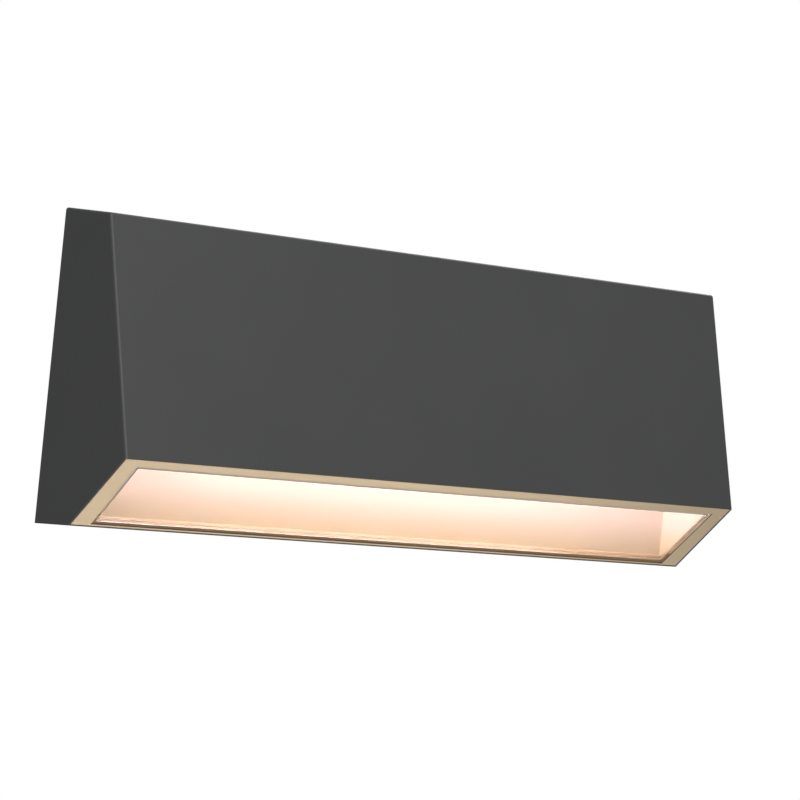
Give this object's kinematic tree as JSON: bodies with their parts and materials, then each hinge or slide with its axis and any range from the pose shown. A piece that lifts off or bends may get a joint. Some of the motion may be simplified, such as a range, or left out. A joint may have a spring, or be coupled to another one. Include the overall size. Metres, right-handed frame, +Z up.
{
  "type": "wall light",
  "caption": "Wedge-shaped downlight for a wall: dark cast housing, champagne framed glass outlet below, LED lamp and driver inside, on a screwed bracket.",
  "frame": {"origin": "on the wall plane, midway between the two wall screws, halfway up the light", "axes": "+X along the light, +Y into the wall, +Z up; the light stands out towards -Y"},
  "size_m": [0.3, 0.0579, 0.12],
  "materials": {
    "housing_coat": "satin anthracite powder coat on a die casting",
    "champagne_metal": "satin champagne anodised",
    "clear_glass": "clear tempered",
    "silicone": "translucent bead",
    "white_reflector": "semi-gloss white",
    "opal_plastic": "opal",
    "bare_aluminium": "extruded",
    "grey_pad": "matte",
    "white_board": "white solder mask",
    "led_emitter": "phosphor",
    "solder": "bright",
    "screw_steel": "zinc plated",
    "zinc_sheet": "galvanised",
    "driver_plastic": "moulded",
    "green_board": "solder mask",
    "component_black": "moulded",
    "terminal_plastic": "moulded",
    "button_orange": "moulded",
    "brown_lead": "PVC",
    "blue_lead": "PVC",
    "earth_lead": "PVC",
    "red_lead": "PVC",
    "black_lead": "PVC",
    "black_rubber": "matte",
    "foam": "closed-cell foam",
    "tinned_copper": "tinned",
    "black_steel": "black oxide"
  },
  "bodies": {
    "bracket": {"wall_bracket": "zinc_sheet", "wall_gasket": "foam", "cable_grommet": "black_rubber"},
    "housing": {"housing": "housing_coat", "outlet_frame": "champagne_metal", "frame_gasket": "black_rubber", "frame_screws": "screw_steel", "outlet_glass": "clear_glass", "glass_seal": "silicone", "reflector": "white_reflector", "reflector_screws": "screw_steel", "diffuser": "opal_plastic", "led_carrier": "bare_aluminium", "thermal_pad": "grey_pad", "led_board": "white_board", "led_chips": "led_emitter", "led_solder_joints": "solder", "led_board_screws": "screw_steel", "gear_tray": "zinc_sheet", "tray_screws": "screw_steel", "carrier_screws": "screw_steel", "driver_case": "driver_plastic", "driver_lid": "driver_plastic", "driver_board": "green_board", "driver_components": "component_black", "driver_screws": "screw_steel", "terminal_block": "terminal_plastic", "terminal_screws": "screw_steel", "lead_live": "brown_lead", "lead_neutral": "blue_lead", "lead_earth": "earth_lead", "led_lead_plus": "red_lead", "led_lead_minus": "black_lead", "lead_grommet": "black_rubber", "earth_lug": "tinned_copper", "earth_screw": "screw_steel", "set_screws": "black_steel"},
    "button_live": {"terminal_button_live": "button_orange"},
    "button_neutral": {"terminal_button_neutral": "button_orange"},
    "button_earth": {"terminal_button_earth": "button_orange"}
  },
  "joints": [
    {"name": "housing_pull", "type": "slide", "parent": "bracket", "child": "housing", "axis": [0, -1, 0], "range_m": [0, 0.06]},
    {"name": "button_live_press", "type": "slide", "parent": "housing", "child": "button_live", "axis": [0, -1, 0], "range_m": [0, 0.001], "stiffness_N_per_m": 1000, "springref_m": -0.001},
    {"name": "button_neutral_press", "type": "slide", "parent": "housing", "child": "button_neutral", "axis": [0, -1, 0], "range_m": [0, 0.001], "stiffness_N_per_m": 1000, "springref_m": -0.001},
    {"name": "button_earth_press", "type": "slide", "parent": "housing", "child": "button_earth", "axis": [0, -1, 0], "range_m": [0, 0.001], "stiffness_N_per_m": 1000, "springref_m": -0.001}
  ]
}
